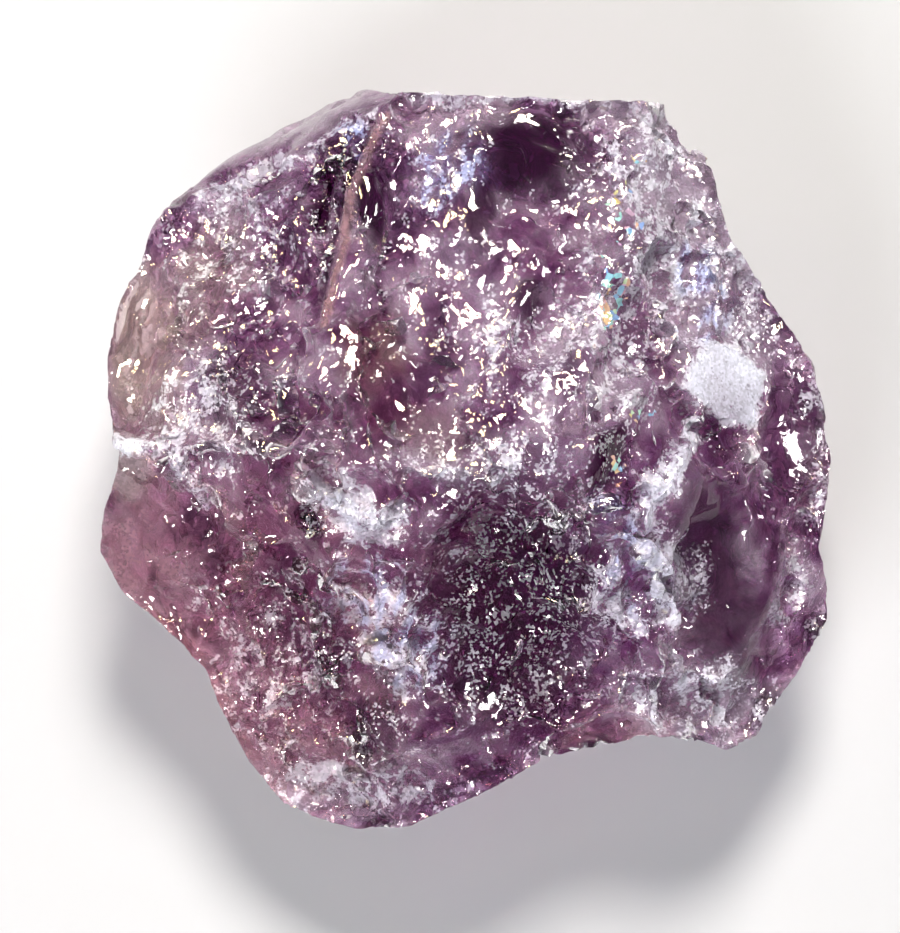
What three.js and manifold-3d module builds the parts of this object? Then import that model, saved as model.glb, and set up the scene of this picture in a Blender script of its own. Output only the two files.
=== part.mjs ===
// A rough, broken chunk of amethyst lying on its back, with its glassy front up.
// Millimetres. +X right, +Y away and +Z up, as the stone is seen from above; it rests on z = 0.
import * as THREE from "three";
import { LoftGeometry } from "three/addons/geometries/LoftGeometry.js";
import { mergeVertices } from "three/addons/utils/BufferGeometryUtils.js";
import Module from "manifold-3d";

// Driving dimensions: the stone's three extents.
const width = 37.6;
const depth = 38.0;
const thickness = 21.2;

// The outline seen from above, clockwise from the left end of the smooth bevel.
const outline = [
  [-15.0, 13.4], [-12.0, 15.6], [-9.4, 17.2], [-7.0, 18.5], [-5.0, 19.0], // bevel
  [-2.3, 18.8], [4.9, 18.4], [10.2, 18.4], // straight far edge
  [11.3, 17.4], [12.4, 15.9], [12.8, 13.4], [13.7, 11.1], [15.1, 9.3], // upper right
  [16.4, 7.2], [17.8, 5.0], [18.4, 2.9], [18.8, 0.4], [18.6, -1.4], // right rim
  [18.2, -4.3], [18.6, -6.3], [18.8, -8.2], [18.1, -9.5], [16.6, -11.7], // lower right
  [15.0, -14.1], [13.4, -14.8], [10.8, -14.0], [7.8, -14.6], [4.2, -15.3], // right lobe
  [0.3, -17.2], [-2.8, -18.8], [-5.3, -19.0], [-8.4, -18.5], [-9.8, -17.6], // near edge
  [-11.2, -15.2], [-12.6, -12.6], [-13.6, -10.5], [-15.6, -8.7], [-17.7, -6.7], // lower left
  [-18.8, -4.6], [-18.4, -2.4], [-17.8, -0.4], [-17.7, 0.8], // left shoulder
  [-18.2, 3.2], [-18.2, 5.5], [-17.6, 8.2], [-16.6, 10.6], // left rim
];

// The blank's sections from the resting face up: height, and share of the outline.
const sections = [
  { z: 0, share: 0.78 },
  { z: 2.5, share: 0.88 },
  { z: 5.5, share: 0.96 },
  { z: 8, share: 1 },
  { z: 13.5, share: 1 },
  { z: 24, share: 0.98 },
];

// Broken faces of the front, each through three points. What lies above them is gone.
const frontFaces = {
  upper: [[-4, 18.3, 15.2], [10, 18, 13.6], [2, 0.5, 20.5]],
  left: [[-4.6, 16, 16], [-7.4, 2, 20.4], [-17.2, 8, 11.5]],
  bevel: [[-14.6, 13.2, 10.8], [-4.1, 18.1, 15.3], [-9.94, 17.2, 7.4]],
  right: [[10.2, 17.8, 13.4], [6.5, 2, 19.2], [18.4, 3, 10.5]],
  lowerRight: [[9, -2, 17.8], [18.6, -2, 10.8], [13.5, -14, 9.5]],
  lower: [[2, 0.5, 20.6], [7.2, -12.9, 12.5], [-3, -16.5, 11]],
  lowerLeft: [[-7.6, -1, 19.6], [-3, -15, 12.5], [-17.5, -5, 12]],
  farCorner: [[9, 18.6, 13.4], [12.6, 14, 13], [12.6, 16.8, 9]],
  crown: [[-8, 3, 20.4], [-3, -3, 20.2], [6, 2, 19.9]],
};

// Broken faces of the back and sides, undercut below the rim.
const backFaces = {
  left: [[-18.9, 6, 9.4], [-19.1, -5, 8.2], [-10.4, 0, 0]],
  upperLeft: [[-17.4, 9.6, 7.6], [-13.4, 14.9, 7.2], [-9.6, 8.2, 0]],
  underBevel: [[-12.6, 15.6, 7.2], [-6.4, 19.2, 7], [-4.6, 12, 0]],
  top: [[-5, 19.2, 9], [10, 18.7, 8], [4, 12.8, 0]],
  upperRight: [[12.6, 16.6, 7.4], [17.2, 6.6, 7], [10, 7.6, 0]],
  right: [[19, 3, 7], [19, -7, 6], [13, -1, 0]],
  lowerRight: [[18.9, -8.6, 6.6], [14.4, -15.2, 5.6], [9.8, -8.6, 0]],
  near: [[-4, -19.3, 7], [13, -15, 6], [2, -12.6, 0]],
  nearLeft: [[-5, -19.3, 7], [-11, -16.6, 7.2], [-5, -11.8, 0]],
  lowerLeft: [[-11, -16.4, 7], [-19, -4.8, 7.6], [-9, -6.8, 0]],
};

// Smooth, shell-shaped fracture scars, each a dish sunk into one of the faces. Its middle is seen
// from above, its half spans lie along the face, and it turns about the face's normal, in degrees.
const shells = [
  { on: "lower", at: [1.8, -7.4], span: [4.8, 6.8], turn: -4, sink: 1.7 }, // dark hollow
  { on: "lower", at: [4.8, -10.2], span: [3.6, 4.0], turn: 30, sink: 1.5 }, // its near end
  { on: "lowerRight", at: [12.6, -5.6], span: [2.7, 6.0], turn: 12, sink: 1.7 }, // glassy scoop
  { on: "left", at: [-10.2, 8.6], span: [3.6, 6.4], turn: -16, sink: 1.1 }, // left of the ridge
  { on: "upper", at: [-2.0, 7.6], span: [3.6, 7.4], turn: 6, sink: 1.0 }, // right of the ridge
  { on: "left", at: [-16.4, 5.6], span: [2.2, 4.6], turn: -6, sink: 0.9 }, // clear left window
  { on: "lowerLeft", at: [-3.7, -8.1], span: [2.5, 4.9], turn: 29, sink: 0.9 }, // veined hollow
];

// Angular flakes that have split off, placed in the same way.
const flakes = [
  { on: "right", at: [7.5, -0.3], span: [1.7, 2.2], turn: -15, sink: 1.2 }, // small pit
  { on: "right", at: [13.0, 3.9], span: [2.5, 3.0], turn: 30, sink: 0.6 }, // pale flake
  { on: "right", at: [16.7, 0.8], span: [2.6, 3.6], turn: 5, sink: 0.6 }, // right rim
  { on: "right", at: [10.8, 10.6], span: [3.0, 5.6], turn: 16, sink: 0.8 }, // hackled corner
  { on: "right", at: [8.2, 5.4], span: [2.6, 3.4], turn: -30, sink: 0.7 }, // below the corner
  { on: "upper", at: [3.3, 14.8], span: [4.6, 3.0], turn: -4, sink: 0.8 }, // far hollow
  { on: "upper", at: [4.4, 6.8], span: [3.6, 4.0], turn: -20, sink: 0.7 }, // glinting middle
  { on: "lowerRight", at: [17.2, -5.4], span: [2.2, 3.4], turn: 8, sink: 0.8 }, // lower right rim
  { on: "lowerRight", at: [11.6, -12.4], span: [3.2, 2.2], turn: -20, sink: 0.8 }, // right lobe
  { on: "lower", at: [8.4, -6.8], span: [2.2, 3.4], turn: 20, sink: 0.6 }, // frosted patch
  { on: "lowerLeft", at: [-5.5, -2.5], span: [3.4, 2.3], turn: -37, sink: 0.9 }, // white chip
  { on: "lowerLeft", at: [-7.4, -11.2], span: [3.4, 4.2], turn: 24, sink: 0.9 }, // plum patch
  { on: "lowerLeft", at: [-6.4, -16.8], span: [4.0, 2.0], turn: 14, sink: 0.9 }, // near foot
  { on: "left", at: [-13.4, 2.6], span: [3.0, 2.4], turn: -35, sink: 0.7 }, // above the shelf
  { on: "left", at: [-12.6, 12.6], span: [2.6, 1.8], turn: 24, sink: 0.6 }, // along the bevel
];

// Flakes that have split off the back, low on the sides.
const backFlakes = [
  { on: "left", at: [-14.6, -2.0], span: [4.2, 6.0], turn: 10, sink: 1.0 },
  { on: "top", at: [3.0, 16.2], span: [7.4, 3.8], turn: 4, sink: 1.1 },
  { on: "upperRight", at: [13.2, 9.6], span: [5.0, 3.8], turn: 60, sink: 1.2 },
  { on: "right", at: [16.4, -2.4], span: [3.0, 4.6], turn: 10, sink: 0.9 },
  { on: "near", at: [5.2, -14.6], span: [6.6, 3.4], turn: 10, sink: 1.0 },
  { on: "lowerLeft", at: [-12.2, -9.6], span: [4.6, 3.0], turn: 50, sink: 1.0 },
];

// The bite out of the near rim: a ball that breaks through the edge.
const notch = { at: [7.4, -17.3, 14], radii: [5.2, 4.6, 4.6] };

// The lower-left shelf: what is beyond the wall and above the floor has broken away.
const shelf = {
  wall: [[-17.9, 1.5, 16], [-8.5, -5, 16], [-13.6, -2.4, 10]],
  floor: [[-17.5, -1, 11.4], [-9.5, -6.5, 13.5], [-12.5, -13, 9.2]],
};

const middle = new THREE.Vector3(0, 0, 9); // inside the stone, clear of every face and scar
const beyond = 120; // edge of the cutting blocks, well past the stone
const shellFineness = 5; // subdivisions of a smooth scar's ball
const flakeFineness = 0; // a flake's ball is left coarse, so that the flake is angular
const scarRoundness = 2.4; // a scar's ball radius along the normal, in sinks

const wasm = await Module();
wasm.setup();

// A closed three.js geometry as a solid.
function solidOf(geometry) {
  const bare = new THREE.BufferGeometry().copy(geometry);
  bare.deleteAttribute("normal");
  bare.deleteAttribute("uv");
  const merged = mergeVertices(bare);
  const mesh = new wasm.Mesh({
    numProp: 3,
    vertProperties: merged.attributes.position.array,
    triVerts: new Uint32Array(merged.index.array),
  });
  return new wasm.Manifold(mesh);
}

// A solid as a three.js geometry.
function geometryOf(solid) {
  const mesh = solid.getMesh();
  const geometry = new THREE.BufferGeometry();
  geometry.setAttribute("position", new THREE.BufferAttribute(mesh.vertProperties, 3));
  geometry.setIndex(new THREE.BufferAttribute(mesh.triVerts, 1));
  return geometry;
}

// The plane through three points, with its normal out of the stone.
function planeOf(points) {
  const [a, b, c] = points.map((point) => new THREE.Vector3(...point));
  const plane = new THREE.Plane().setFromCoplanarPoints(a, b, c);
  return plane.distanceToPoint(middle) > 0 ? plane.negate() : plane;
}

// The turn that lays +Z along a plane's normal.
function facing(plane) {
  return new THREE.Quaternion().setFromUnitVectors(new THREE.Vector3(0, 0, 1), plane.normal);
}

// The unbroken blank: the outline lofted through its sections.
function blank() {
  const rings = sections.map(({ z, share }) =>
    outline.map(([x, y]) => new THREE.Vector3(x * share, y * share, z)).reverse(),
  );
  return solidOf(new LoftGeometry(rings, { capStart: true, capEnd: true }));
}

// A block that holds the space on the far side of the plane through three points.
function outside(points) {
  const plane = planeOf(points);
  const block = new THREE.BoxGeometry(beyond, beyond, beyond).translate(0, 0, beyond / 2);
  block.applyQuaternion(facing(plane));
  block.translate(...plane.projectPoint(middle, new THREE.Vector3()).toArray());
  return solidOf(block);
}

// The squashed ball that takes one scar out of its face.
function dish({ on, at, span, turn, sink }, faces, fineness) {
  const plane = planeOf(faces[on]);
  const [x, y] = at;
  const z = (-plane.constant - plane.normal.x * x - plane.normal.y * y) / plane.normal.z;
  const radius = scarRoundness * sink;
  const lift = radius - sink;
  const spread = 1 / Math.sqrt(1 - (lift / radius) ** 2);
  const ball = new THREE.IcosahedronGeometry(1, fineness);
  ball.scale(span[0] * spread, span[1] * spread, radius);
  ball.rotateZ(THREE.MathUtils.degToRad(turn));
  ball.translate(0, 0, lift);
  ball.applyQuaternion(facing(plane));
  ball.translate(x, y, z);
  return solidOf(ball);
}

// The blank with its faces, shelf, scars and notch broken away.
function carve() {
  let stone = blank();
  for (const face of [...Object.values(frontFaces), ...Object.values(backFaces)]) {
    stone = stone.subtract(outside(face));
  }
  stone = stone.subtract(outside(shelf.wall).intersect(outside(shelf.floor)));
  for (const shell of shells) {
    stone = stone.subtract(dish(shell, frontFaces, shellFineness));
  }
  for (const flake of flakes) {
    stone = stone.subtract(dish(flake, frontFaces, flakeFineness));
  }
  for (const flake of backFlakes) {
    stone = stone.subtract(dish(flake, backFaces, flakeFineness));
  }
  const ball = new THREE.IcosahedronGeometry(1, shellFineness);
  ball.scale(...notch.radii);
  ball.translate(...notch.at);
  return stone.subtract(solidOf(ball));
}

const geometry = geometryOf(carve());

// Bring the carved stone to its stated extents, and stand the middle of its box on the origin.
geometry.computeBoundingBox();
const extent = geometry.boundingBox.getSize(new THREE.Vector3());
geometry.scale(width / extent.x, depth / extent.y, thickness / extent.z);
geometry.computeBoundingBox();
const centre = geometry.boundingBox.getCenter(new THREE.Vector3());
geometry.translate(-centre.x, -centre.y, -geometry.boundingBox.min.z);
geometry.computeVertexNormals();

const amethystGlass = new THREE.MeshStandardMaterial({
  name: "amethyst",
  color: new THREE.Color("#5a3f72"),
  roughness: 0.15,
  metalness: 0,
  flatShading: true,
});

const stone = new THREE.Mesh(geometry, amethystGlass);
stone.name = "amethyst";

const part = new THREE.Group();
part.add(stone);

export default part;
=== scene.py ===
import math

import bpy
import numpy as np
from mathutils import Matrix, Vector, kdtree, noise


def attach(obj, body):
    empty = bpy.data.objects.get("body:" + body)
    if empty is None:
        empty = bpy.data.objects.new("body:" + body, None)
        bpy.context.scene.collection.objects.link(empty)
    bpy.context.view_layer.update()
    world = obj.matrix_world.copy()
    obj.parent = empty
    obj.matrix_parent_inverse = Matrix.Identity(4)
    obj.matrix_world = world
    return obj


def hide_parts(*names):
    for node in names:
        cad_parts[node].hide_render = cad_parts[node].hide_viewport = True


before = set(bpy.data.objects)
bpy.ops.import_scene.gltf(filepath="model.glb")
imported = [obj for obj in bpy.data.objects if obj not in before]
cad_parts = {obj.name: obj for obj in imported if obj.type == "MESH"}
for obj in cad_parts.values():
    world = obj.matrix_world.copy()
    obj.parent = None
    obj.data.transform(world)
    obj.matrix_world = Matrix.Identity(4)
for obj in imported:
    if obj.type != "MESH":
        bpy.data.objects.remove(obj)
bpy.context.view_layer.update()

mm = 0.001  # the frame is in metres, the sizes below are in millimetres
noise.seed_set(4)  # the same stone each run


# shader maths: a socket with operators, and one way to add any other node
class Value:
    def __init__(self, shader, socket):
        self.shader = shader
        self.socket = socket

    def __add__(self, other):
        return self.shader.math("ADD", self, other)

    def __sub__(self, other):
        return self.shader.math("SUBTRACT", self, other)

    def __mul__(self, other):
        return self.shader.math("MULTIPLY", self, other)

    def __radd__(self, other):
        return self.shader.math("ADD", other, self)

    def __rsub__(self, other):
        return self.shader.math("SUBTRACT", other, self)

    def __rmul__(self, other):
        return self.shader.math("MULTIPLY", other, self)

    def clamped(self):
        return self.shader.math("ADD", self, 0.0, clamp=True)


class Shader:
    def __init__(self, name):
        self.material = bpy.data.materials.new(name)
        self.material.use_nodes = True
        self.tree = self.material.node_tree
        self.tree.nodes.clear()

    def node(self, kind, settings=None, inputs=None):
        made = self.tree.nodes.new(kind)
        for key, value in (settings or {}).items():
            if key == "stops":
                self.setStops(made.color_ramp, value)
            else:
                setattr(made, key, value)
        for key, value in (inputs or {}).items():
            socket = made.inputs[key]
            if isinstance(value, Value):
                self.tree.links.new(value.socket, socket)
            elif isinstance(value, bpy.types.NodeSocket):
                self.tree.links.new(value, socket)
            else:
                socket.default_value = value
        return made

    def setStops(self, ramp, stops):
        while len(ramp.elements) < len(stops):
            ramp.elements.new(1.0)
        for element, (place, colour) in zip(ramp.elements, stops):
            element.position = place
            element.color = (*colour, 1.0)

    def value(self, kind, settings=None, inputs=None, out=0):
        return Value(self, self.node(kind, settings, inputs).outputs[out])

    def math(self, operation, a, b, clamp=False):
        return self.value("ShaderNodeMath", {"operation": operation, "use_clamp": clamp}, {0: a, 1: b})

    def blend(self, factor, a, b):
        settings = {"data_type": "RGBA", "blend_type": "MIX", "clamp_factor": True}
        return self.value("ShaderNodeMix", settings, {0: factor, 6: a, 7: b}, out=2)

    def step(self, value, low, high):
        settings = {"interpolation_type": "SMOOTHSTEP", "clamp": True}
        inputs = {"Value": value, "From Min": low, "From Max": high, "To Min": 0.0, "To Max": 1.0}
        return self.value("ShaderNodeMapRange", settings, inputs)

    def place(self):
        coords = self.node("ShaderNodeTexCoord")
        inputs = {"Vector": coords.outputs["Object"], "Scale": (1 / mm, 1 / mm, 1 / mm)}
        return self.value("ShaderNodeMapping", {"vector_type": "POINT"}, inputs)

    def vector(self, operation, a, b):
        key = 3 if operation == "SCALE" else 1
        return self.value("ShaderNodeVectorMath", {"operation": operation}, {0: a, key: b})

    def cells(self, place, size):
        inputs = {"Vector": place, "Scale": 1 / size}
        return self.value("ShaderNodeTexVoronoi", {"voronoi_dimensions": "3D"}, inputs, out="Color")

    def lean(self, cells, tilt):
        return self.vector("SCALE", self.vector("SUBTRACT", cells, (0.5, 0.5, 0.5)), tilt)

    def part(self, vector, index):
        return self.value("ShaderNodeSeparateXYZ", None, {0: vector}, out=index)

    def attribute(self, name, out="Fac"):
        settings = {"attribute_type": "GEOMETRY", "attribute_name": name}
        return self.value("ShaderNodeAttribute", settings, out=out)


def rgb(red, green, blueVeilAndReflection):
    return (red, green, blueVeilAndReflection, 1.0)


def deselectAll():
    if bpy.context.object and bpy.context.object.mode != "OBJECT":
        bpy.ops.object.mode_set(mode="OBJECT")
    bpy.ops.object.select_all(action="DESELECT")


def activate(piece):
    deselectAll()
    piece.select_set(True)
    bpy.context.view_layer.objects.active = piece


def modify(piece, kind, settings):
    activate(piece)
    modifier = piece.modifiers.new(kind.lower(), kind)
    for key, value in settings.items():
        setattr(modifier, key, value)
    bpy.ops.object.modifier_apply(modifier=modifier.name)


def verticesOf(piece):
    points = np.empty(len(piece.data.vertices) * 3, np.float32)
    piece.data.vertices.foreach_get("co", points)
    return points.reshape(-1, 3).astype(float)


# What is where on the stone's front, seen from above: middle and half spans in mm, turn in degrees.
zones = {
    # pale, crushed and flaky places
    "frost": [
        {"at": (9.0, 15.5), "span": (3.4, 2.8), "turn": 0, "amount": 0.5},
        {"at": (10.4, 11.2), "span": (2.6, 4.4), "turn": 15, "amount": 0.46},
        {"at": (13.8, 8.8), "span": (1.8, 3.4), "turn": 35, "amount": 0.42},
        {"at": (13.0, 6.6), "span": (2.6, 1.6), "turn": -30, "amount": 0.5},
        {"at": (17.7, 0.6), "span": (0.9, 4.1), "turn": 0, "amount": 0.42},
        {"at": (10.0, -0.8), "span": (1.0, 3.0), "turn": -32, "amount": 0.7},
        {"at": (9.0, -6.0), "span": (3.3, 3.2), "turn": -25, "amount": 0.75},
        {"at": (11.5, -11.9), "span": (3.4, 2.2), "turn": 0, "amount": 0.5},
        {"at": (16.3, -7.1), "span": (0.9, 2.4), "turn": -20, "amount": 0.6},
        {"at": (-5.5, -2.5), "span": (2.9, 1.7), "turn": -37, "amount": 0.66},
        {"at": (-3.7, -8.1), "span": (2.1, 4.2), "turn": 29, "amount": 0.58},
        {"at": (1.3, 0.2), "span": (4.9, 1.5), "turn": 0, "amount": 0.4},
        {"at": (-6.2, -16.6), "span": (4.8, 1.5), "turn": 0, "amount": 0.62},
        {"at": (-8.9, -15.6), "span": (1.2, 2.2), "turn": 25, "amount": 0.6},
        {"at": (-11.6, -9.0), "span": (3.6, 0.5), "turn": -52, "amount": 0.6},
        {"at": (-4.9, -9.6), "span": (0.4, 4.2), "turn": 27, "amount": 0.6},
        {"at": (-11.0, -12.2), "span": (1.4, 3.3), "turn": 20, "amount": 0.42},
        {"at": (-9.0, -9.6), "span": (3.6, 3.6), "turn": 0, "amount": 0.35},
        {"at": (-13.6, 1.6), "span": (3.1, 3.1), "turn": 0, "amount": 0.4},
        {"at": (-9.3, 15.2), "span": (5.9, 0.6), "turn": 25, "amount": 0.55},
        {"at": (-11.5, 10.9), "span": (3.1, 3.6), "turn": 0, "amount": 0.4},
        {"at": (-0.9, 14.6), "span": (1.5, 2.2), "turn": -25, "amount": 0.3},
        {"at": (2.6, 4.7), "span": (2.6, 3.4), "turn": 0, "amount": 0.36},
        {"at": (7.4, 6.8), "span": (2.6, 4.1), "turn": 0, "amount": 0.4},
        {"at": (2.8, 18.4), "span": (6.7, 0.4), "turn": 0, "amount": 0.45},
    ],
    # deep purple places: partly the stone's own plum, partly painted shade in the hollow below the middle
    # ridge, in sunken cracks and a pit, and a painted dark reflection on the bevel
    "plum": [
        {"at": (3.3, 15.2), "span": (2.8, 2.1), "turn": 0, "amount": 1.0},
        {"at": (0.8, 12.7), "span": (0.7, 2.3), "turn": 0, "amount": 0.9},
        {"at": (3.4, 8.1), "span": (0.8, 1.5), "turn": 0, "amount": 0.9},
        {"at": (-4.6, 13.2), "span": (0.85, 2.7), "turn": 5, "amount": 1.0},
        # painted shade: the hollow below the middle ridge faces away from the light and is painted nearly
        # black
        {"at": (2.3, -7.1), "span": (4.6, 6.2), "turn": 0, "amount": 1.0},
        {"at": (12.7, -6.1), "span": (2.3, 5.6), "turn": 12, "amount": 0.9},
        {"at": (16.9, 1.1), "span": (1.8, 3.1), "turn": 0, "amount": 0.55},
        {"at": (-6.8, 13.7), "span": (0.7, 1.6), "turn": -15, "amount": 0.9},
        # painted dark reflection: the bevel is darkened where it would mirror the surroundings
        {"at": (-9.5, 16.5), "span": (5.6, 0.9), "turn": 25, "amount": 0.35},
        {"at": (-4.6, -13.7), "span": (1.4, 1.5), "turn": 0, "amount": 0.7},
        {"at": (-8.6, -5.8), "span": (1.8, 1.6), "turn": -30, "amount": 0.55},
        {"at": (-7.0, -9.4), "span": (1.3, 1.9), "turn": 10, "amount": 0.6},
        {"at": (-11.5, 3.7), "span": (1.5, 2.0), "turn": 0, "amount": 0.6},
        {"at": (18.2, -8.4), "span": (0.6, 0.9), "turn": 0, "amount": 0.8},
        {"at": (15.6, -12.7), "span": (1.1, 1.6), "turn": 0, "amount": 0.8},
    ],
    # pink to mauve places
    "pink": [
        {"at": (-10.5, -9.1), "span": (8.2, 8.7), "turn": 0, "amount": 0.9},
        {"at": (-16.2, -4.0), "span": (3.1, 3.6), "turn": 0, "amount": 1.0},
        {"at": (-13.9, -11.2), "span": (6.4, 1.4), "turn": -54, "amount": 1.1},
        {"at": (7.7, -14.0), "span": (2.8, 1.1), "turn": 0, "amount": 0.7},
    ],
    # clear, greyish places
    "clear": [
        {"at": (-16.2, 5.5), "span": (1.9, 4.4), "turn": -5, "amount": 1.0},
        {"at": (-12.6, 9.8), "span": (1.9, 2.6), "turn": -20, "amount": 0.6},
        {"at": (-17.3, -0.2), "span": (1.2, 1.6), "turn": 0, "amount": 0.8},
    ],
    # bluish veils and flakes, partly a painted reflection of blue sky on smooth faces
    "blueVeilAndReflection": [
        {"at": (-0.9, 14.6), "span": (1.5, 2.2), "turn": -25, "amount": 0.75},
        {"at": (-3.9, -8.1), "span": (2.2, 4.2), "turn": 29, "amount": 0.55},
        {"at": (12.0, 8.6), "span": (1.2, 2.4), "turn": 15, "amount": 0.7},
        {"at": (-5.5, 16.2), "span": (1.2, 0.8), "turn": 0, "amount": 0.9},
        {"at": (8.0, -4.4), "span": (1.4, 3.2), "turn": 10, "amount": 0.6},
    ],
    # hazy, greyish lavender places
    "haze": [
        {"at": (11.0, 12.0), "span": (4.0, 6.5), "turn": 20, "amount": 0.9},
        {"at": (6.5, 4.5), "span": (3.5, 3.5), "turn": 0, "amount": 0.7},
        {"at": (12.8, 6.6), "span": (3.2, 3.0), "turn": 0, "amount": 0.9},
        {"at": (1.3, 0.2), "span": (5.2, 1.7), "turn": 0, "amount": 0.8},
        {"at": (-1.0, 7.0), "span": (5.0, 4.0), "turn": 0, "amount": 0.45},
        {"at": (-0.9, 14.2), "span": (1.6, 2.2), "turn": -25, "amount": 0.25},
        {"at": (-13.0, 2.5), "span": (3.0, 3.0), "turn": 0, "amount": 0.6},
        {"at": (-3.9, -8.1), "span": (2.4, 4.4), "turn": 29, "amount": 0.3},
        {"at": (-6.2, -16.2), "span": (4.8, 2.0), "turn": 0, "amount": 0.6},
        {"at": (11.5, -12.0), "span": (3.4, 2.4), "turn": 0, "amount": 0.9},
    ],
    # smoky brown places
    "smoke": [
        {"at": (-4.4, 5.2), "span": (1.8, 2.2), "turn": 0, "amount": 1.0},
        {"at": (-2.6, 1.8), "span": (3.4, 1.4), "turn": -15, "amount": 0.7},
        {"at": (-13.4, 8.2), "span": (1.5, 2.4), "turn": 0, "amount": 0.6},
    ],
    # rainbow glints on cracks
    "rainbow": [
        {"at": (7.8, 12.6), "span": (1.3, 1.6), "turn": 0, "amount": 0.8},
        {"at": (7.3, 8.2), "span": (1.0, 2.0), "turn": 0, "amount": 1.0},
        {"at": (8.3, 14.8), "span": (0.5, 0.5), "turn": 0, "amount": 1.0},
        {"at": (7.5, -0.4), "span": (0.7, 0.9), "turn": 0, "amount": 1.0},
        {"at": (8.8, 2.4), "span": (0.9, 0.7), "turn": 0, "amount": 0.8},
        {"at": (-2.6, -10.3), "span": (0.8, 0.8), "turn": 0, "amount": 0.6},
        {"at": (-4.9, -6.9), "span": (0.7, 0.5), "turn": 0, "amount": 0.6},
    ],
    # smooth, glassy faces with no grain
    "glassy": [
        {"at": (12.7, -6.1), "span": (2.5, 5.8), "turn": 12, "amount": 1.0},
        {"at": (-9.7, 16.6), "span": (6.2, 1.0), "turn": 25, "amount": 1.0},
        {"at": (7.7, -14.0), "span": (2.8, 1.3), "turn": 0, "amount": 0.55},
        {"at": (-16.4, -4.2), "span": (2.8, 3.2), "turn": 0, "amount": 0.65},
        {"at": (-13.9, -11.2), "span": (6.0, 1.1), "turn": -54, "amount": 0.5},
        {"at": (-17.3, -0.3), "span": (1.2, 1.5), "turn": 0, "amount": 0.7},
        {"at": (-4.6, 13.2), "span": (0.85, 2.7), "turn": 5, "amount": 0.7},
        {"at": (16.4, 1.6), "span": (1.7, 2.6), "turn": 0, "amount": 0.65},
        {"at": (3.3, 15.2), "span": (2.7, 2.0), "turn": 0, "amount": 0.95},
        {"at": (0.8, 12.7), "span": (0.7, 2.3), "turn": 0, "amount": 0.7},
        {"at": (3.4, 8.1), "span": (0.8, 1.5), "turn": 0, "amount": 0.7},
        {"at": (-6.8, 13.7), "span": (0.7, 1.6), "turn": -15, "amount": 0.5},
    ],
}

# raised slivers and cracks: where they run, half width and height in mm, the zone that colours them. Sunken
# cracks and the deep pit are coloured plum, as painted shade in their grooves
lines = [
    {
        "path": [(-4.1, 17.4), (-4.8, 15.5), (-5.5, 13.7), (-6.05, 11.6), (-6.5, 9.1), (-7.0, 6.8)],
        "width": 0.26, "height": 0.3, "zone": "sliver", "amount": 1.0,
    },
    {
        "path": [(-4.7, 17.0), (-5.4, 15.3), (-6.1, 13.5), (-6.65, 11.4), (-7.1, 9.0)],
        "width": 0.24, "height": -0.3, "zone": "plum", "amount": 0.9,
    },
    {
        "path": [(-6.1, 15.3), (-7.0, 13.8), (-7.4, 12.0)],
        "width": 0.55, "height": -0.45, "zone": "plum", "amount": 1.0,
    },
    {
        "path": [(-4.1, 11.0), (-4.2, 9.0), (-4.0, 6.7)],
        "width": 0.16, "height": -0.4, "zone": "plum", "amount": 1.0,
    },
    {
        "path": [(11.6, 1.8), (10.7, -0.3), (9.3, -1.9), (8.9, -3.2)],
        "width": 0.6, "height": 0.5, "zone": "frost", "amount": 0.85,
    },
    {
        "path": [(-7.5, -1.2), (-5.5, -2.9), (-3.2, -2.6)],
        "width": 0.7, "height": 0.4, "zone": "frost", "amount": 0.85,
    },
    {"path": [(-8.0, -2.6), (-7.5, -3.3)], "width": 0.5, "height": -0.9, "zone": "plum", "amount": 1.0},
    {
        "path": [(13.9, 2.4), (12.0, 1.3), (10.9, 2.6)],
        "width": 0.3, "height": -0.35, "zone": "plum", "amount": 0.7,
    },
    {
        "path": [(-15.4, 8.6), (-14.4, 5.2), (-14.2, 2.0)],
        "width": 0.3, "height": 0.25, "zone": "clear", "amount": 0.6,
    },
    {
        "path": [(-17.4, 0.9), (-14.6, 0.4), (-12.9, -2.2)],
        "width": 0.5, "height": 0.35, "zone": "frost", "amount": 0.7,
    },
]

# flat flakes with straight edges: corners in mm, in turn
flakes = [
    {
        "corners": [(12.1, 6.8), (10.9, 3.8), (13.0, 1.7), (14.9, 1.8), (15.3, 4.6)],
        "zone": "frost", "amount": 0.95,
    },
    # a dark pit painted plum: painted shade
    {
        "corners": [(6.4, 1.6), (5.9, -0.4), (6.2, -2.2), (7.9, -0.4), (8.2, 1.9)],
        "zone": "plum", "amount": 1.0,
    },
]

zoneEdge = {
    "soft": 0.45,  # share of a zone's span over which it fades
    "flakeFade": 0.3,  # width over which a flake fades, mm
    "warp": 0.75,  # how far a zone's edge strays, mm
    "warpSize": 2.2,  # size of the straying, mm
    "octaves": 3,
    "farAway": 1e9,  # mm
}


def strayed(points):
    flat = points[:, :2] / mm
    strays = np.empty_like(flat)
    for i, (x, y, z) in enumerate(points / mm / zoneEdge["warpSize"]):
        strays[i] = noise.turbulence_vector((x, y, z), zoneEdge["octaves"], False)[:2]
    return flat + strays * zoneEdge["warp"]


def zoneWeight(flat, patches):
    weight = np.zeros(len(flat))
    for patch in patches:
        turn = math.radians(patch["turn"])
        away = flat - np.array(patch["at"])
        along = away @ np.array([math.cos(turn), math.sin(turn)]) / patch["span"][0]
        across = away @ np.array([-math.sin(turn), math.cos(turn)]) / patch["span"][1]
        reach = np.sqrt(along ** 2 + across ** 2)
        inside = np.clip((1 + zoneEdge["soft"] - reach) / (2 * zoneEdge["soft"]), 0, 1)
        weight = np.maximum(weight, patch["amount"] * inside * inside * (3 - 2 * inside))
    return weight


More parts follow.
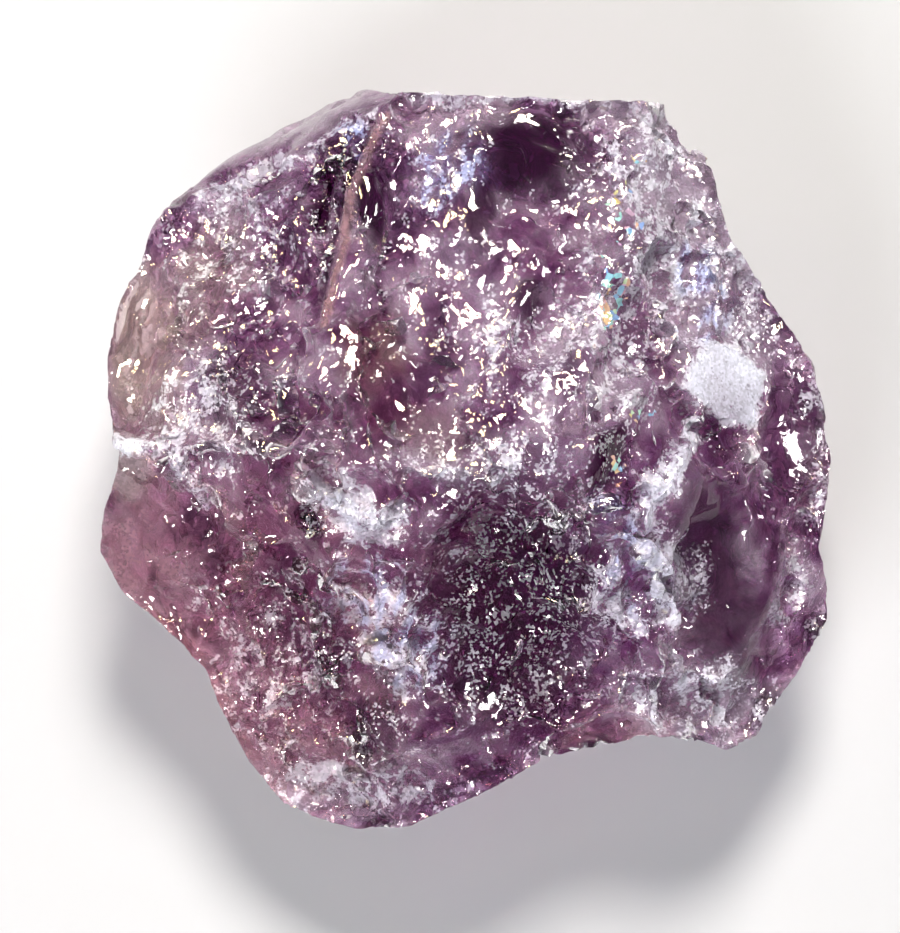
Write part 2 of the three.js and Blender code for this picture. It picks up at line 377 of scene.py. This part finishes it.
def lineWeight(flat, path, width):
    near = np.full(len(flat), zoneEdge["farAway"])
    for start, end in zip(path[:-1], path[1:]):
        start = np.array(start)
        run = np.array(end) - start
        along = np.clip((flat - start) @ run / (run @ run), 0, 1)
        near = np.minimum(near, np.linalg.norm(flat - start - along[:, None] * run, axis=1))
    return np.clip(1 - near / width, 0, 1)


def flakeWeight(flat, corners):
    inside = np.full(len(flat), zoneEdge["farAway"])
    for start, end in zip(corners, corners[1:] + corners[:1]):
        run = np.array(end) - np.array(start)
        inward = np.array([-run[1], run[0]]) / math.hypot(*run)
        inside = np.minimum(inside, (flat - np.array(start)) @ inward)
    return np.clip(0.5 + inside / zoneEdge["flakeFade"] / 2, 0, 1)


stoneShape = {
    "merge": 0.002,  # points this near are one, mm
    "voxel": 0.17,  # first mesh, mm
    "triangles": 190000,
    "footHeight": 0.4,  # the resting face and what is just above it stay flat, mm
    "footFade": 1.5,  # height over which the breaks begin above it, mm
    "front": (6.0, 9.0),  # the front's own marks fade out between these heights, mm
    "sharpEdge": 28,  # degrees
    "rim": {"rounds": 14, "stands": 0.16, "spread": 8, "gain": 2},  # stands out of the smoothed stone, mm
    "lineStray": 0.35,  # share of the zones' straying that the lines follow
    "lineFacing": 4,  # lines fade where the stone turns away from the front
    "flakeFlat": 0.8,  # how far flakes are pressed flat
    "cell": 0.3,  # grid that finds the outline, mm
    "loosen": {"rounds": 16, "size": 4.0, "reach": 1.0, "inland": 3.5},  # mm
    "swell": {"size": 6.0, "height": 0.5, "depth": 2},  # slow unevenness of every face, mm
    "spared": {"rim": 0.85, "glassy": 0.9, "glassyChips": 0.95, "clearChips": 0.6},  # fewer breaks here
    "fewChips": 0.2,  # share of the small breaks where nothing is frosted
}

# shell-shaped breaks: spacing and ridge height in mm, tilt of their floors, where they show
breaks = {
    "slab": {
        "group": "rough",
        "spacing": 3.8, "ridge": 0.40, "tilt": 0.20, "stretch": (1.3, 0.8, 1.0), "seed": 3,
    },
    "flake": {
        "group": "rough",
        "spacing": 1.7, "ridge": 0.22, "tilt": 0.30, "stretch": (1.2, 0.85, 1.0), "seed": 5,
    },
    "chip": {
        "group": "hackle",
        "spacing": 0.8, "ridge": 0.13, "tilt": 0.40, "stretch": (1.0, 1.0, 1.0), "seed": 8,
    },
}
breakShape = {
    "neighbours": 5,
    "bowl": (0.2, 1.1),  # how hollow, from the flattest to the roundest
    "sink": 0.5,  # how far one lies under or over the next, in ridge heights
    "deepest": 2.5,  # in ridge heights
    "crest": 0.25,  # breadth of the sharp edge between two, in ridge heights
}


def addAttribute(piece, name, weights):
    layer = piece.data.attributes.new(name, "FLOAT", "POINT")
    layer.data.foreach_set("value", weights.astype(np.float32))


def swell(piece, size, height, depth):
    texture = bpy.data.textures.new("swell", "CLOUDS")
    texture.noise_scale = size * mm
    texture.noise_depth = depth
    settings = {"texture": texture, "texture_coords": "LOCAL", "strength": height * mm, "mid_level": 0.5}
    modify(piece, "DISPLACE", settings)


def smoothed(piece, values, rounds):
    links = np.empty(len(piece.data.edges) * 2, np.int32)
    piece.data.edges.foreach_get("vertices", links)
    ends = np.concatenate([links[0::2], links[1::2]])
    others = np.concatenate([links[1::2], links[0::2]])
    count = np.maximum(np.bincount(ends, minlength=len(values)), 1)
    columns = values.reshape(len(values), -1).T.copy()
    for _ in range(rounds):
        columns = np.array([np.bincount(ends, column[others], len(values)) / count for column in columns])
    return columns.T.reshape(values.shape)


def normalsOf(piece):
    normals = np.empty(len(piece.data.vertices) * 3, np.float32)
    piece.data.vertices.foreach_get("normal", normals)
    return normals.reshape(-1, 3).astype(float)


def findRim(piece):
    rim = stoneShape["rim"]
    points = verticesOf(piece) / mm
    stands = ((points - smoothed(piece, points, rim["rounds"])) * normalsOf(piece)).sum(axis=1)
    onRim = np.clip(stands / rim["stands"], 0, 1)
    return onRim, np.clip(rim["gain"] * smoothed(piece, onRim, rim["spread"]), 0, 1)


def inlandOf(piece, reach):
    points = verticesOf(piece) / mm
    cells = np.floor(points[:, :2] / stoneShape["cell"]).astype(int)
    taken = set(map(tuple, np.unique(cells, axis=0)))
    sides = ((1, 0), (-1, 0), (0, 1), (0, -1))
    edge = sorted((x, y) for x, y in taken if any((x + i, y + j) not in taken for i, j in sides))
    tree = kdtree.KDTree(len(edge))
    for index, (x, y) in enumerate(edge):
        tree.insert(((x + 0.5) * stoneShape["cell"], (y + 0.5) * stoneShape["cell"], 0), index)
    tree.balance()
    away = np.array([tree.find((x, y, 0))[2] for x, y, z in points])
    return np.clip(away / reach, 0, 1)[:, None]


def movePoints(piece, points):
    piece.data.vertices.foreach_set("co", (points * mm).astype(np.float32).ravel())
    piece.data.update()


# small pits are evened out and round edges bent out of shape, less and less towards the outline
def loosen(piece, rounds, size, reach, inland):
    points = verticesOf(piece) / mm
    weight = inlandOf(piece, inland)
    points += (smoothed(piece, points, rounds) - points) * weight
    octaves = zoneEdge["octaves"]
    strays = np.array([noise.turbulence_vector(point, octaves, False) for point in points / size])
    strays[:, 2] = 0
    movePoints(piece, points + strays * reach * weight)


def knap(piece, weight, spacing, ridge, tilt, stretch, seed):
    points = verticesOf(piece) / mm
    normals = normalsOf(piece)
    scaled = points * np.array(stretch)
    rng = np.random.default_rng(seed)
    area = sum(face.area for face in piece.data.polygons) / mm ** 2
    strikes = rng.choice(len(points), int(area / spacing ** 2), replace=False)
    tree = kdtree.KDTree(len(strikes))
    for index, strike in enumerate(strikes):
        tree.insert(scaled[strike], index)
    tree.balance()
    neighbours = breakShape["neighbours"]
    near = np.array([[hit[1] for hit in tree.find_n(point, neighbours)] for point in scaled])
    lean = rng.normal(size=(len(strikes), 3)) * tilt
    bowl = 4 * ridge / spacing ** 2 * rng.uniform(*breakShape["bowl"], len(strikes))
    sink = rng.uniform(-breakShape["sink"], breakShape["sink"], len(strikes)) * ridge
    away = scaled[:, None, :] - scaled[strikes][near]
    depths = sink[near] + (lean[near] * away).sum(axis=2) + bowl[near] * (away ** 2).sum(axis=2)
    order = np.argsort(depths, axis=1)
    rows = np.arange(len(points))
    first = depths[rows, order[:, 0]]
    second = depths[rows, order[:, 1]]
    depth = np.clip(first - ridge, -breakShape["deepest"] * ridge, 0)
    movePoints(piece, points + normals * (depth * weight)[:, None])
    shade = rng.uniform(size=len(strikes))[near[rows, order[:, 0]]]  # one for each break
    crest = np.exp(-(second - first) / (breakShape["crest"] * ridge)) * weight
    return shade, crest


def frontOf(points):
    low, high = stoneShape["front"]
    return np.clip((points[:, 2] - low) / (high - low), 0, 1)


def drawLines(piece):
    points = verticesOf(piece) / mm
    normals = normalsOf(piece)
    flat = points[:, :2] + (strayed(points * mm) - points[:, :2]) * stoneShape["lineStray"]
    facing = np.clip(normals[:, 2] * stoneShape["lineFacing"], 0, 1) * frontOf(points)
    for line in lines:
        weight = lineWeight(flat, line["path"], line["width"]) * facing
        points += normals * (weight * line["height"])[:, None]
    for flake in flakes:
        weight = flakeWeight(flat, flake["corners"]) * facing
        within = weight > 0.5
        spread = np.column_stack([points[:, :2], np.ones(len(points))])
        plane = np.linalg.lstsq(spread[within], points[within, 2], rcond=None)[0]
        points[:, 2] += (spread @ plane - points[:, 2]) * weight * stoneShape["flakeFlat"]
    movePoints(piece, points)


def carveStone():
    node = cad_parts["amethyst"]
    stone = bpy.data.objects.new("amethystChunk", node.data.copy())
    bpy.context.scene.collection.objects.link(stone)
    activate(stone)
    bpy.ops.object.mode_set(mode="EDIT")
    bpy.ops.mesh.select_all(action="SELECT")
    bpy.ops.mesh.remove_doubles(threshold=stoneShape["merge"] * mm)
    bpy.ops.object.mode_set(mode="OBJECT")
    stone.data.materials.clear()
    modify(stone, "REMESH", {"mode": "VOXEL", "voxel_size": stoneShape["voxel"] * mm})
    print("stone: remeshed to", len(stone.data.polygons), "faces")

    loosen(stone, **stoneShape["loosen"])
    points = verticesOf(stone)
    flat = strayed(points)
    frost = zoneWeight(flat, zones["frost"])
    glassy = zoneWeight(flat, zones["glassy"])
    for flake in flakes:
        glassy = np.maximum(glassy, flakeWeight(flat, flake["corners"]) * frontOf(points / mm))
    clear = zoneWeight(flat, zones["clear"])
    above = np.clip((points[:, 2] / mm - stoneShape["footHeight"]) / stoneShape["footFade"], 0, 1)
    rim, nearRim = findRim(stone)
    spared = stoneShape["spared"]
    few = stoneShape["fewChips"]
    inner = above * (1 - spared["rim"] * nearRim)
    chipped = (few + (1 - few) * frost) * (1 - spared["glassyChips"] * glassy)
    chipped *= 1 - spared["clearChips"] * clear
    weights = {"rough": inner * (1 - spared["glassy"] * glassy), "hackle": inner * chipped}
    addAttribute(stone, "rim", rim)
    swell(stone, **stoneShape["swell"])
    crest = np.zeros(len(points))
    for name, strike in breaks.items():
        settings = dict(strike)
        weight = weights[settings.pop("group")]
        shade, ridges = knap(stone, weight, **settings)
        addAttribute(stone, name, shade)
        crest = np.maximum(crest, ridges)
    addAttribute(stone, "crest", crest)
    drawLines(stone)

    points = verticesOf(stone)
    points[:, 2] = np.where(points[:, 2] < stoneShape["footHeight"] * mm * 0.5, 0, points[:, 2])
    stone.data.vertices.foreach_set("co", points.astype(np.float32).ravel())
    triangles = 2 * len(stone.data.polygons)
    if triangles > stoneShape["triangles"]:
        modify(stone, "DECIMATE", {"ratio": stoneShape["triangles"] / triangles})
    print("stone: carved,", len(stone.data.polygons), "faces")

    paint(stone)
    activate(stone)
    bpy.ops.object.shade_smooth_by_angle(angle=math.radians(stoneShape["sharpEdge"]))
    return stone


glass = {
    "ior": 1.544,
    "absorb": rgb(0.60, 0.30, 0.60),
    "density": 95.0,  # per metre
}

# colours of the quartz (tint), of its cloudy skin (milk) and of its crushed places (frost)
colours = {
    "deep": {"tint": (0.66, 0.37, 0.67), "milk": (0.31, 0.13, 0.30), "frost": (0.60, 0.53, 0.66)},
    "pale": {"tint": (0.98, 0.88, 0.96), "milk": (0.68, 0.53, 0.66), "frost": (0.73, 0.69, 0.77)},
    "haze": {"tint": (0.97, 0.90, 0.96), "milk": (0.54, 0.47, 0.57), "frost": (0.71, 0.69, 0.77)},
    "pink": {"tint": (0.96, 0.66, 0.73), "milk": (0.50, 0.24, 0.28), "frost": (0.78, 0.63, 0.68)},
    "smoke": {"tint": (0.60, 0.36, 0.24), "milk": (0.17, 0.08, 0.06), "frost": (0.58, 0.48, 0.43)},
    # plum is nearly black: the stone's deep purple and also painted shade in the hollow, cracks and a pit;
    # its frost is near white, so specks there are painted sparkle
    "plum": {"tint": (0.06, 0.005, 0.05), "milk": (0.04, 0.003, 0.035), "frost": (0.90, 0.86, 0.97)},
    "clear": {"tint": (0.94, 0.84, 0.80), "milk": (0.52, 0.40, 0.38), "frost": (0.84, 0.82, 0.85)},
    "sliver": {"tint": (0.80, 0.58, 0.62), "milk": (0.46, 0.27, 0.29), "frost": (0.52, 0.40, 0.44)},
    # bluish veils, partly a painted sky reflection
    "blueVeilAndReflection": {"tint": (0.60, 0.48, 0.88), "milk": (0.28, 0.25, 0.54), "frost": (0.40, 0.46, 0.80)},
    "under": {"tint": (0.94, 0.80, 0.93), "milk": (0.76, 0.50, 0.72), "frost": (0.76, 0.66, 0.82)},
    "white": {"tint": (0.96, 0.93, 0.98), "milk": (0.68, 0.66, 0.78), "frost": (0.80, 0.80, 0.92)},
}

rainbow = [
    (0.35, 0.50, 1.00),
    (0.45, 0.90, 0.98),
    (0.65, 0.98, 0.70),
    (1.00, 0.88, 0.40),
    (1.00, 0.60, 0.45),
    (0.98, 0.58, 0.92),
]

skin = {
    "cloud": {"size": 2.6, "octaves": 3, "stretch": (1, 1, 1), "seed": 11},
    "grain": {"size": 0.6, "octaves": 3, "stretch": (1, 1, 1), "seed": 23},
    "streak": {"size": 0.5, "octaves": 3, "stretch": (1.0, 0.28, 0.5), "seed": 37},
    "streakTurn": 12,  # degrees
    "line": {"widen": 1.3, "gain": 2},  # a line's colour reaches past its height and fades late
    "pale": {"all": 0.5, "cloud": 1.2, "grain": 0.5},  # where the purple is pale
    "dark": {"all": -0.5, "cloud": -1.8, "grain": -0.8, "most": 0.6},  # where it is nearly plum
    "share": {"haze": 0.8, "pink": 0.85, "smoke": 0.8, "under": 0.7},  # how far these colours take over
    "white": {"from": 0.6, "gain": 3},  # frost that is whiter
    "blueVeilAndReflection": {"all": 0.35, "streak": 1.8},
    "smooth": {"glassy": 0.9, "flake": 0.85},  # how much of the grain smooth places lose
    "broken": {"slab": 0.3, "flake": 0.5, "chip": 0.6},  # how unlike in frost the breaks are
    "ragged": {"grain": 0.45, "streak": 0.65},
    "frosted": {"zone": 1.1, "least": 0.3},
    "crest": {"all": 0.15, "frost": 0.3},
    "rim": {"all": 0.2, "grain": 0.4},
    # how cloudy the skin is
    "cover": {
        "all": 0.08, "pale": 0.22, "haze": 0.26, "plum": -0.16, "clear": 0.1, "glassy": 0.32, "under": 0.6,
    },
    # how many small breaks are painted white, partly white crushed flecks, partly painted sparkle glints
    "specks": {"all": 0.38, "frost": 0.35, "plum": 0.28, "grain": 0.75, "glassy": -0.6, "clear": -0.3},
    # how far small breaks take the lie of what is round them
    "even": {"rounds": 12, "most": 0.35, "share": 0.8},
}


def noiseField(points, size, octaves, stretch, seed):
    spots = points * np.array(stretch) / size + seed
    return np.array([noise.fractal(spot, 1.0, 2.0, octaves) for spot in spots])


def addColour(piece, name, values):
    layer = piece.data.attributes.new(name, "FLOAT_COLOR", "POINT")
    full = np.ones((len(values), 4), np.float32)
    full[:, :3] = np.clip(values, 0, 1)
    layer.data.foreach_set("color", full.ravel())


def readAttribute(piece, name):
    values = np.empty(len(piece.data.vertices), np.float32)
    piece.data.attributes[name].data.foreach_get("value", values)
    return values.astype(float)


def zonesOf(points):
    flat = strayed(points)
    zone = {name: zoneWeight(flat, patches) for name, patches in zones.items()}
    zone["sliver"] = np.zeros(len(points))
    zone["flat"] = np.zeros(len(points))
    zone["front"] = frontOf(points / mm)
    trail = points[:, :2] / mm + (flat - points[:, :2] / mm) * stoneShape["lineStray"]
    for line in lines:
        weight = lineWeight(trail, line["path"], line["width"] * skin["line"]["widen"])
        weight = np.clip(weight * skin["line"]["gain"], 0, 1) * zone["front"]
        zone[line["zone"]] = np.maximum(zone[line["zone"]], weight * line["amount"])
    for flake in flakes:
        weight = flakeWeight(trail, flake["corners"]) * zone["front"]
        zone["flat"] = np.maximum(zone["flat"], weight)
        zone[flake["zone"]] = np.maximum(zone[flake["zone"]], weight * flake["amount"])
    for name in ("sliver", "rainbow", "smoke"):
        zone[name] = zone[name] * zone["front"]
    zone["glassy"] = np.maximum(zone["glassy"], zone["sliver"])
    return zone


def streaksOf(points):
    turn = math.radians(skin["streakTurn"])
    turned = points.copy()
    turned[:, 0] = points[:, 0] * math.cos(turn) - points[:, 1] * math.sin(turn)
    turned[:, 1] = points[:, 0] * math.sin(turn) + points[:, 1] * math.cos(turn)
    return noiseField(turned, **skin["streak"])


def paintColours(piece, amount):
    for kind in ("tint", "milk", "frost"):
        colour = np.tile(colours["deep"][kind], (len(piece.data.vertices), 1))
        for name, weight in amount.items():
            colour += (np.array(colours[name][kind]) - colour) * weight[:, None]
        addColour(piece, kind + "Colour", colour)


def paintLie(piece):
    normals = normalsOf(piece)
    even = smoothed(piece, normals, skin["even"]["rounds"]) - normals
    reach = np.maximum(np.linalg.norm(even, axis=1), 1e-6)
    even *= (skin["even"]["share"] * np.minimum(1, skin["even"]["most"] / reach))[:, None]
    layer = piece.data.attributes.new("even", "FLOAT_VECTOR", "POINT")
    layer.data.foreach_set("vector", even.astype(np.float32).ravel())


def paint(piece):
    points = verticesOf(piece)
    zone = zonesOf(points)
    frost = zone["frost"]
    under = np.clip(-normalsOf(piece)[:, 2], 0, 1) * (1 - zone["front"])
    mark = {name: readAttribute(piece, name) for name in ("slab", "flake", "chip", "crest", "rim")}
    points /= mm
    cloud = noiseField(points, **skin["cloud"])
    grain = noiseField(points, **skin["grain"])
    streak = streaksOf(points)
    rough = (1 - skin["smooth"]["glassy"] * zone["glassy"]) * (1 - skin["smooth"]["flake"] * zone["flat"])
    pale = skin["pale"]["all"] + cloud * skin["pale"]["cloud"] + grain * skin["pale"]["grain"]
    dark = skin["dark"]["all"] + cloud * skin["dark"]["cloud"] + grain * skin["dark"]["grain"]
    dark = np.clip(dark, 0, skin["dark"]["most"]) * zone["front"] * (1 - frost) * (1 - zone["clear"])
    amount = {
        "pale": np.clip(pale, 0, 1),
        "haze": zone["haze"] * skin["share"]["haze"],
        "pink": zone["pink"] * skin["share"]["pink"],
        "smoke": zone["smoke"] * skin["share"]["smoke"],
        "plum": np.maximum(zone["plum"], dark),
        "clear": zone["clear"],
        "sliver": zone["sliver"],
        "under": under * skin["share"]["under"],
        "white": np.clip((frost - skin["white"]["from"]) * skin["white"]["gain"], 0, 1) * (1 - zone["blueVeilAndReflection"]),
        "blueVeilAndReflection": zone["blueVeilAndReflection"] * np.clip(skin["blueVeilAndReflection"]["all"] + streak * skin["blueVeilAndReflection"]["streak"], 0, 1),
    }
    paintColours(piece, amount)

    # some breaks are frosted all over, others only in streaks and along their crests
    broken = sum((mark[name] - 0.5) * share for name, share in skin["broken"].items())
    ragged = grain * skin["ragged"]["grain"] + streak * skin["ragged"]["streak"]
    least = skin["frosted"]["least"]
    crests = mark["crest"] * (skin["crest"]["all"] + frost * skin["crest"]["frost"])
    rims = mark["rim"] * (1 - zone["plum"]) * (skin["rim"]["all"] + grain * skin["rim"]["grain"])
    crushed = frost * skin["frosted"]["zone"] + (broken + ragged) * (least + frost * (1 - least)) * rough
    addAttribute(piece, "crushed", crushed + crests + rims)
    cover = skin["cover"]["all"] + skin["cover"]["pale"] * amount["pale"] + skin["cover"]["under"] * under
    for name in ("haze", "plum", "clear", "glassy"):
        cover += skin["cover"][name] * zone[name]
    addAttribute(piece, "cover", cover)
    specks = skin["specks"]["all"] + skin["specks"]["grain"] * np.maximum(grain, streak)
    for name in ("frost", "plum", "glassy", "clear"):
        specks += skin["specks"][name] * zone[name]
    addAttribute(piece, "specks", specks)
    addAttribute(piece, "rainbow", zone["rainbow"])
    addAttribute(piece, "rough", rough)
    paintLie(piece)
    print("stone: painted")


# small flat breaks: size in mm, how far they lean, and how much further where the stone is crushed
facets = {
    "clump": {"size": 2.0, "tilt": 0.40, "crushed": 0.0},
    "large": {"size": 0.7, "tilt": 0.30, "crushed": 0.0},
    "middle": {"size": 0.34, "tilt": 0.06, "crushed": 0.24},
    "small": {"size": 0.13, "tilt": 0.04, "crushed": 0.36},
}
finish = {
    "differ": {"middle": 0.35, "small": 0.5},  # how unlike in frost the small breaks are
    "crushedEdge": (0.45, 0.95),
    # painted sparkle: where small breaks turn white, and how much frost colour they take
    "sparkleSpeckEdge": (0.56, 0.62),
    "sparkleSpeckFrost": 0.7,
    "clearRough": (0.04, 0.12),  # whole, and what crushing adds
    "milkRough": (0.10, 0.05),
    "milkToneAndSparkle": (0.75, 0.4),  # darkest small break, and what the palest has more: random tone, partly painted sparkle
    "crushedCover": 0.58,
    "filmEdge": (0.55, 0.59),
    "filmMetal": 0.4,
    "filmCover": 0.8,
}


def amethystMaterial():
    s = Shader("amethyst")
    place = s.place()
    rough = s.attribute("rough")
    geometry = s.node("ShaderNodeNewGeometry")
    turning = {"vector_type": "VECTOR", "convert_from": "OBJECT", "convert_to": "WORLD"}

    # many small flat breaks, each leaning its own way, so that each glints or whitens alone
    cells = {name: s.cells(place, facet["size"]) for name, facet in facets.items()}
    middle = cells["middle"]
    small = cells["small"]
    crushed = s.attribute("crushed")
    for name, share in finish["differ"].items():
        crushed = crushed + (s.part(cells[name], 0) - 0.5) * share
    # white specks: partly white flecks, partly painted sparkle glints
    sparkleSpeck = s.step(s.part(small, 1) * s.attribute("specks"), *finish["sparkleSpeckEdge"])
    crushed = (s.step(crushed, *finish["crushedEdge"]) + sparkleSpeck * finish["sparkleSpeckFrost"]).clamped()
    even = s.value("ShaderNodeVectorTransform", turning, {0: s.attribute("even", "Vector")})
    facing = s.vector("ADD", geometry.outputs["Normal"], even)
    for name, facet in facets.items():
        lean = s.lean(cells[name], rough * (facet["tilt"] + crushed * facet["crushed"]))
        facing = s.vector("ADD", facing, lean)
    facing = s.vector("NORMALIZE", facing, (0, 0, 0))

    whole, more = finish["clearRough"]
    inputs = {
        "Base Color": s.attribute("tintColour", "Color"),
        "Roughness": whole + crushed * more,
        "IOR": glass["ior"],
        "Transmission Weight": 1.0,
        "Normal": facing,
    }
    clearShader = s.node("ShaderNodeBsdfPrincipled", {"distribution": "GGX"}, inputs)
    milk = s.blend(crushed, s.attribute("milkColour", "Color"), s.attribute("frostColour", "Color"))
    # each small break's milk and frost colour is lighter or darker at random, partly as painted sparkle
    darkest, more = finish["milkToneAndSparkle"]
    milk = s.vector("SCALE", milk, darkest + s.part(small, 2) * more)
    stops = [(i / (len(rainbow) - 1), colour) for i, colour in enumerate(rainbow)]
    film = s.value("ShaderNodeValToRGB", {"stops": stops}, {"Fac": s.part(middle, 1)})
    filmed = s.step(s.part(middle, 2) * s.attribute("rainbow"), *finish["filmEdge"])
    whole, more = finish["milkRough"]
    inputs = {
        "Base Color": s.blend(filmed, milk, film),
        "Metallic": filmed * finish["filmMetal"],
        "Roughness": whole + crushed * more,
        "IOR": glass["ior"],
        "Normal": facing,
    }
    milkShader = s.node("ShaderNodeBsdfPrincipled", None, inputs)
    cover = s.attribute("cover") + crushed * finish["crushedCover"] + filmed * finish["filmCover"]
    both = {0: cover.clamped(), 1: clearShader.outputs[0], 2: milkShader.outputs[0]}
    surface = s.node("ShaderNodeMixShader", None, both)
    inputs = {"Color": glass["absorb"], "Density": glass["density"]}
    depth = s.node("ShaderNodeVolumeAbsorption", None, inputs)
    s.node("ShaderNodeOutputMaterial", None, {"Surface": surface.outputs[0], "Volume": depth.outputs[0]})
    return s.material


stone = carveStone()
stone.data.materials.append(amethystMaterial())
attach(stone, "root")
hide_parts("amethyst")
print("stone: done")


studio = {
    "lens": 240.0,  # mm, far back, as the photograph is
    "sensor": 36.0,  # mm, along the taller side
    "frameHeight": 47.85,  # what the taller side of the picture takes in at the rim, mm
    "rim": 9.0,  # height of the stone's rim, mm
    "aim": (-0.77, -0.23),  # what the middle of the picture looks at, mm
    "nearest": 10.0,  # what the camera sees starts here, mm
    "floorSize": 4000.0,  # mm
    "floorDrop": 0.01,  # a gap that lets light under the stone, mm
    "floorShades": (rgb(0.60, 0.60, 0.61), rgb(0.64, 0.64, 0.65)),
    "floorClouds": {"Scale": 0.02, "Detail": 2.0, "Roughness": 0.55, "Distortion": 0.0},
    "floorRough": 0.8,
    "skyColour": rgb(0.80, 0.82, 0.86),
    "skyStrength": 0.16,
}


def addCamera():
    deselectAll()
    far = studio["lens"] * studio["frameHeight"] / studio["sensor"] + studio["rim"]
    bpy.ops.object.camera_add(location=(studio["aim"][0] * mm, studio["aim"][1] * mm, far * mm))
    camera = bpy.context.object
    camera.data.lens = studio["lens"]
    camera.data.sensor_width = studio["sensor"]
    camera.data.sensor_height = studio["sensor"]
    camera.data.sensor_fit = "VERTICAL"
    camera.data.clip_start = studio["nearest"] * mm
    bpy.context.scene.camera = camera


def addFloor():
    deselectAll()
    spot = (0, 0, -studio["floorDrop"] * mm)
    bpy.ops.mesh.primitive_plane_add(size=studio["floorSize"] * mm, location=spot)
    floor = bpy.context.object
    floor.name = "floor"
    s = Shader("paleFloor")
    inputs = {"Vector": s.place(), **studio["floorClouds"]}
    clouds = s.value("ShaderNodeTexNoise", {"noise_dimensions": "3D"}, inputs)
    shade = s.blend(clouds, *studio["floorShades"])
    inputs = {"Base Color": shade, "Roughness": studio["floorRough"]}
    plain = s.node("ShaderNodeBsdfPrincipled", None, inputs)
    s.node("ShaderNodeOutputMaterial", None, {"Surface": plain.outputs[0]})
    floor.data.materials.append(s.material)


# lamps that only light, that are only mirrored, or both: places and sizes in mm
lamps = {
    "key": {
        "at": (20, 300, 360), "size": 140, "watts": 2.8, "colour": (1.0, 0.97, 0.93),
        "lights": True, "glints": True,
    },
    "top": {
        "at": (10, 300, 365), "size": 120, "watts": 2.0, "colour": (1.0, 0.80, 0.28),
        "lights": False, "glints": True,
    },
    "left": {
        "at": (-280, 220, 280), "size": 110, "watts": 1.6, "colour": (1.0, 0.84, 0.40),
        "lights": False, "glints": True,
    },
    "high": {
        "at": (-50, 100, 460), "size": 100, "watts": 1.4, "colour": (1.0, 0.97, 0.92),
        "lights": False, "glints": True,
    },
    "right": {
        "at": (300, 20, 320), "size": 90, "watts": 1.0, "colour": (1.0, 0.98, 0.95),
        "lights": False, "glints": True,
    },
    "low": {
        "at": (-190, -270, 330), "size": 80, "watts": 1.1, "colour": (1.0, 0.97, 0.92),
        "lights": False, "glints": True,
    },
    "fill": {
        "at": (-200, -300, 300), "size": 300, "watts": 1.7, "colour": (0.95, 0.96, 1.0),
        "lights": True, "glints": False,
    },
}


def addLamp(name, at, size, watts, colour, lights, glints):
    deselectAll()
    spot = Vector(at) * mm
    aim = (Vector((0, 0, studio["rim"] * mm)) - spot).to_track_quat("-Z", "Y").to_euler()
    bpy.ops.object.light_add(type="AREA", location=spot, rotation=aim)
    lamp = bpy.context.object
    lamp.name = name
    lamp.data.shape = "DISK"
    lamp.data.size = size * mm
    lamp.data.energy = watts
    lamp.data.color = colour
    lamp.visible_diffuse = lights
    lamp.visible_glossy = glints


def addWorld():
    world = bpy.data.worlds.new("studio")
    world.use_nodes = True
    sky = world.node_tree.nodes["Background"]
    sky.inputs["Color"].default_value = studio["skyColour"]
    sky.inputs["Strength"].default_value = studio["skyStrength"]
    bpy.context.scene.world = world


addCamera()
addFloor()
for name, lamp in lamps.items():
    addLamp(name, **lamp)
addWorld()
look = bpy.context.scene
look.view_settings.view_transform = "Standard"
look.cycles.max_bounces = 12  # light goes to and fro inside the stone
look.cycles.transmission_bounces = 12
look.cycles.diffuse_bounces = 2
look.cycles.glossy_bounces = 4
look.cycles.adaptive_threshold = 1.0
print("studio: done")
